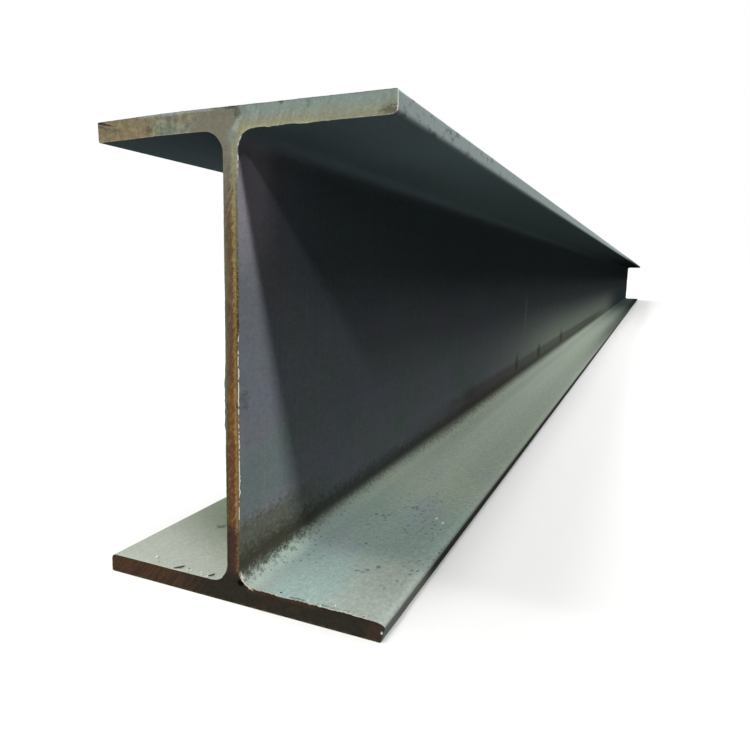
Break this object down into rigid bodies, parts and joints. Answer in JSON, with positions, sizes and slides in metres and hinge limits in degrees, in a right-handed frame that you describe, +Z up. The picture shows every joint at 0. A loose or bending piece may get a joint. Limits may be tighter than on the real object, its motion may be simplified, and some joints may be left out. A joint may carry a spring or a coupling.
{
  "type": "steel h-beam",
  "caption": "Hot-rolled wide-flange steel H-beam with parallel flanges, root fillets and square saw-cut ends, standing on its lower flange.",
  "frame": {"origin": "on the floor under the middle of the beam: centre of the lower flange's underside, half way along the length", "axes": "+Z up along the web, +Y along the length, away from the end that the picture shows, +X across the flanges"},
  "size_m": [0.2, 6, 0.294],
  "materials": {
    "rolled_steel": "matte"
  },
  "bodies": {
    "root": {"h_beam": "rolled_steel"}
  },
  "joints": []
}
